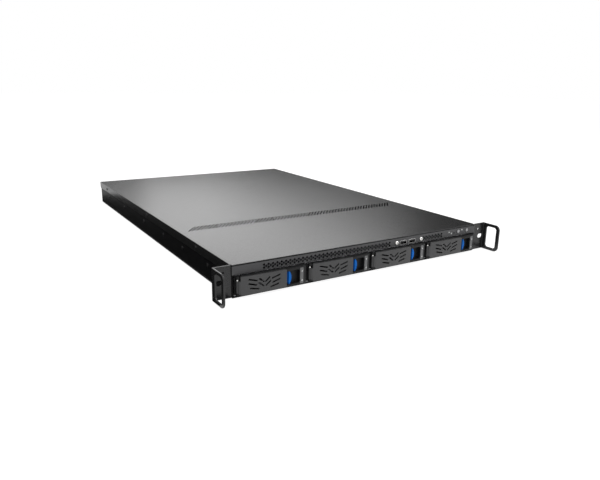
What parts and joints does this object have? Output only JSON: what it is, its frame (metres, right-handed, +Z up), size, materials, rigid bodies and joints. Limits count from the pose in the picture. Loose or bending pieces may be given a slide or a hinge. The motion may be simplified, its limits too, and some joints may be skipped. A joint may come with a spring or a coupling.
{
  "type": "1u rack server",
  "caption": "Flat rack-mount server with hot-swap drive trays, loop-handled rack ears, a lift-off vented cover and its boards, fans and power supply inside.",
  "frame": {"origin": "in the rack mounting plane (rear faces of the ears), midway between the ears, at the underside of the chassis", "axes": "+X to the right seen from the front, +Y towards the rear, +Z up"},
  "size_m": [0.4826, 0.6912, 0.0436],
  "materials": {
    "chassis_paint": "satin black paint",
    "cover_paint": "fine satin dark grey paint",
    "panel_paint": "satin charcoal paint",
    "ear_paint": "satin black paint",
    "black_screw": "black zinc",
    "bright_screw": "bright nickel",
    "port_shell": "plain",
    "board_green": "solder mask",
    "light_lens": "clear",
    "button_cap": "silver",
    "zinc_sheet": "zinc plated",
    "black_plastic": "moulded",
    "sink_aluminium": "plain",
    "rotor_plastic": "moulded",
    "sled_sheet": "dark",
    "bezel_plastic": "fine moulded texture",
    "lever_plastic": "fine moulded texture",
    "latch_blue": "glossy blue",
    "strip_silver": "silver",
    "drive_case": "cast and plain"
  },
  "bodies": {
    "root": {"chassis_body": "chassis_paint", "front_panel": "panel_paint", "ear_left": "ear_paint", "ear_right": "ear_paint", "side_screws": "black_screw", "front_panel_screws": "bright_screw", "usb_sockets": "port_shell", "io_shield": "port_shell", "io_ports": "port_shell", "front_board": "board_green", "backplane": "board_green", "motherboard": "board_green", "memory_modules": "board_green", "indicator_lights": "light_lens", "drive_cage": "zinc_sheet", "fan_wall": "zinc_sheet", "slot_cover": "zinc_sheet", "psu_case": "zinc_sheet", "backplane_connectors": "black_plastic", "fan_frames": "black_plastic", "power_inlet": "black_plastic", "cpu_heatsink": "sink_aluminium"},
    "tray_1": {"tray_1_sled": "sled_sheet", "tray_1_bezel": "bezel_plastic", "tray_1_lights": "strip_silver", "tray_1_drive": "drive_case"},
    "lever_1": {"tray_1_lever": "lever_plastic"},
    "latch_1": {"tray_1_latch": "latch_blue"},
    "tray_2": {"tray_2_sled": "sled_sheet", "tray_2_bezel": "bezel_plastic", "tray_2_lights": "strip_silver", "tray_2_drive": "drive_case"},
    "lever_2": {"tray_2_lever": "lever_plastic"},
    "latch_2": {"tray_2_latch": "latch_blue"},
    "tray_3": {"tray_3_sled": "sled_sheet", "tray_3_bezel": "bezel_plastic", "tray_3_lights": "strip_silver", "tray_3_drive": "drive_case"},
    "lever_3": {"tray_3_lever": "lever_plastic"},
    "latch_3": {"tray_3_latch": "latch_blue"},
    "tray_4": {"tray_4_sled": "sled_sheet", "tray_4_bezel": "bezel_plastic", "tray_4_lights": "strip_silver", "tray_4_drive": "drive_case"},
    "lever_4": {"tray_4_lever": "lever_plastic"},
    "latch_4": {"tray_4_latch": "latch_blue"},
    "power_button": {"power_button": "button_cap"},
    "reset_button": {"reset_button": "button_cap"},
    "cover": {"top_cover": "cover_paint", "cover_screws": "black_screw"},
    "fan_rotor_1": {"fan_rotor_1": "rotor_plastic"},
    "fan_rotor_2": {"fan_rotor_2": "rotor_plastic"},
    "fan_rotor_3": {"fan_rotor_3": "rotor_plastic"},
    "fan_rotor_4": {"fan_rotor_4": "rotor_plastic"},
    "psu_fan_rotor": {"psu_fan_rotor": "rotor_plastic"}
  },
  "joints": [
    {"name": "tray_1_slide", "type": "slide", "parent": "root", "child": "tray_1", "axis": [0, -1, 0], "range_m": [0, 0.165]},
    {"name": "tray_2_slide", "type": "slide", "parent": "root", "child": "tray_2", "axis": [0, -1, 0], "range_m": [0, 0.165]},
    {"name": "tray_3_slide", "type": "slide", "parent": "root", "child": "tray_3", "axis": [0, -1, 0], "range_m": [0, 0.165]},
    {"name": "tray_4_slide", "type": "slide", "parent": "root", "child": "tray_4", "axis": [0, -1, 0], "range_m": [0, 0.165]},
    {"name": "lever_1_swing", "type": "hinge", "parent": "tray_1", "child": "lever_1", "pos_m": [-0.20978, -0.00632, 0.01595], "axis": [0, 0, -1], "range_deg": [0, 70]},
    {"name": "latch_1_press", "type": "slide", "parent": "tray_1", "child": "latch_1", "axis": [-1, 0, 0], "range_m": [0, 0.0025], "stiffness_N_per_m": 400, "springref_m": -0.001},
    {"name": "lever_2_swing", "type": "hinge", "parent": "tray_2", "child": "lever_2", "pos_m": [-0.10279, -0.00632, 0.01595], "axis": [0, 0, -1], "range_deg": [0, 70]},
    {"name": "latch_2_press", "type": "slide", "parent": "tray_2", "child": "latch_2", "axis": [-1, 0, 0], "range_m": [0, 0.0025], "stiffness_N_per_m": 400, "springref_m": -0.001},
    {"name": "lever_3_swing", "type": "hinge", "parent": "tray_3", "child": "lever_3", "pos_m": [0.00421, -0.00632, 0.01595], "axis": [0, 0, -1], "range_deg": [0, 70]},
    {"name": "latch_3_press", "type": "slide", "parent": "tray_3", "child": "latch_3", "axis": [-1, 0, 0], "range_m": [0, 0.0025], "stiffness_N_per_m": 400, "springref_m": -0.001},
    {"name": "lever_4_swing", "type": "hinge", "parent": "tray_4", "child": "lever_4", "pos_m": [0.11121, -0.00632, 0.01595], "axis": [0, 0, -1], "range_deg": [0, 70]},
    {"name": "latch_4_press", "type": "slide", "parent": "tray_4", "child": "latch_4", "axis": [-1, 0, 0], "range_m": [0, 0.0025], "stiffness_N_per_m": 400, "springref_m": -0.001},
    {"name": "power_button_press", "type": "slide", "parent": "root", "child": "power_button", "axis": [0, 1, 0], "range_m": [0, 0.001], "stiffness_N_per_m": 600, "springref_m": -0.0005},
    {"name": "reset_button_press", "type": "slide", "parent": "root", "child": "reset_button", "axis": [0, 1, 0], "range_m": [0, 0.001], "stiffness_N_per_m": 600, "springref_m": -0.0005},
    {"name": "cover_lift", "type": "slide", "parent": "root", "child": "cover", "axis": [0, 0, 1], "range_m": [0, 0.05]},
    {"name": "fan_1_spin", "type": "hinge", "parent": "root", "child": "fan_rotor_1", "pos_m": [-0.156, 0.2272, 0.0218], "axis": [0, 1, 0], "continuous": true},
    {"name": "fan_2_spin", "type": "hinge", "parent": "root", "child": "fan_rotor_2", "pos_m": [-0.052, 0.2272, 0.0218], "axis": [0, 1, 0], "continuous": true},
    {"name": "fan_3_spin", "type": "hinge", "parent": "root", "child": "fan_rotor_3", "pos_m": [0.052, 0.2272, 0.0218], "axis": [0, 1, 0], "continuous": true},
    {"name": "fan_4_spin", "type": "hinge", "parent": "root", "child": "fan_rotor_4", "pos_m": [0.156, 0.2272, 0.0218], "axis": [0, 1, 0], "continuous": true},
    {"name": "psu_fan_spin", "type": "hinge", "parent": "root", "child": "psu_fan_rotor", "pos_m": [-0.15405, 0.6426, 0.02145], "axis": [0, 1, 0], "continuous": true}
  ]
}
